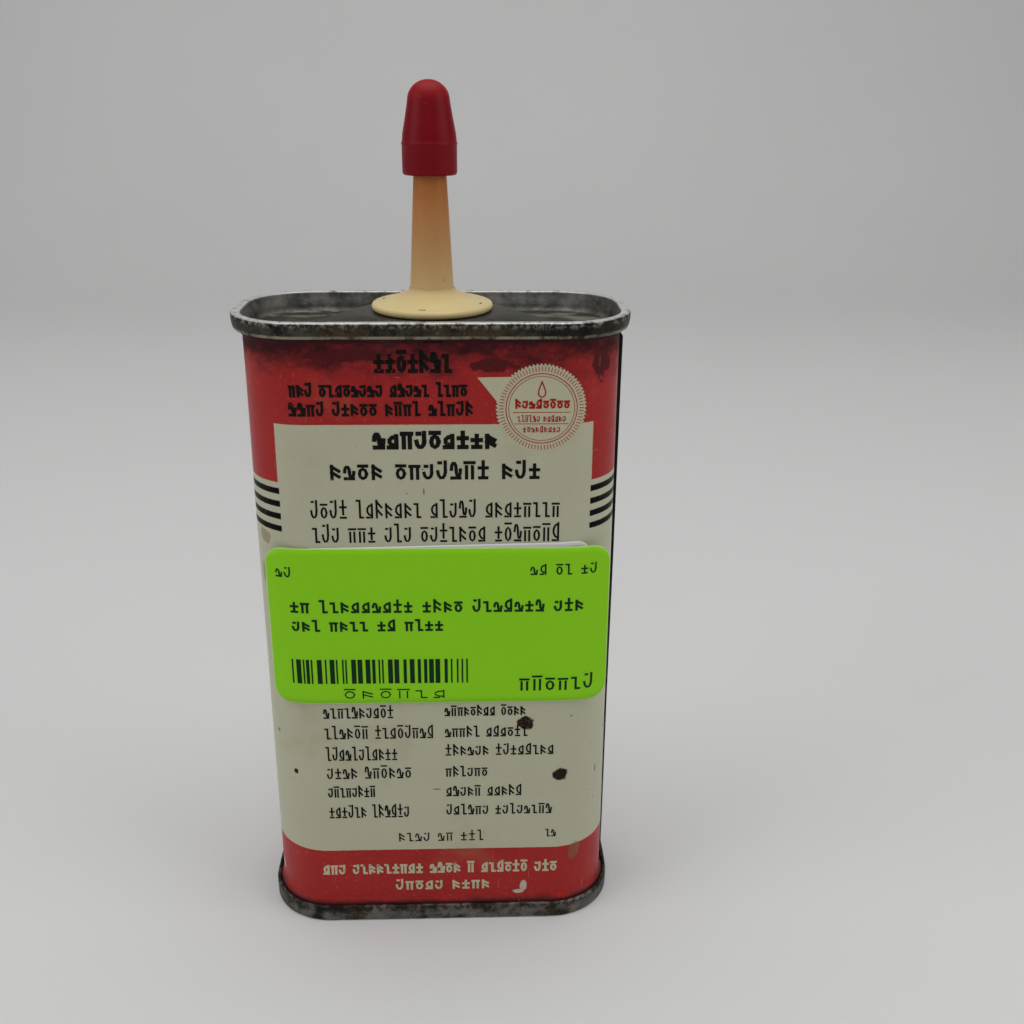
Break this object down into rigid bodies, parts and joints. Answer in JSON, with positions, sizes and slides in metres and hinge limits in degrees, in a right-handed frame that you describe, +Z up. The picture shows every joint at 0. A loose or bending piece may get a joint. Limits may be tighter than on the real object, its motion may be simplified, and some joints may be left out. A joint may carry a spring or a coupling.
{
  "type": "handy oiler can",
  "caption": "Flat rounded tinplate oiler tin with double-seamed ends, a plug-in tapered plastic spout and a pull-off tip cap.",
  "frame": {"origin": "middle of the tin's footprint, on the surface it stands on", "axes": "+Z up, the tin's width along X, the printed front faces -Y, the side seam is at +X"},
  "size_m": [0.0596, 0.0274, 0.1361],
  "materials": {
    "printed_tinplate": "satin litho print in cream and dark red, scratched, with rust spots",
    "tinplate": "dull, dirty bare tinplate with bright worn crests",
    "solder": "dull grey solder",
    "sealing_compound": "matt",
    "natural_plastic": "aged, oil-stained, slightly translucent",
    "red_plastic": "dark red, semi-gloss",
    "label_film": "pale, thin, slightly glossy",
    "green_paper": "bright green printed paper"
  },
  "bodies": {
    "can": {"can_body": "printed_tinplate", "side_seam_solder": "solder", "top_end": "tinplate", "bottom_end": "tinplate", "top_seam_compound": "sealing_compound", "bottom_seam_compound": "sealing_compound", "under_label": "label_film", "price_label": "green_paper"},
    "spout": {"spout": "natural_plastic"},
    "cap": {"tip_cap": "red_plastic"}
  },
  "joints": [
    {"name": "spout_pull", "type": "slide", "parent": "can", "child": "spout", "axis": [0, 0, 1], "range_m": [0, 0.008]},
    {"name": "cap_pull", "type": "slide", "parent": "spout", "child": "cap", "axis": [0, 0, 1], "range_m": [0, 0.014]}
  ]
}
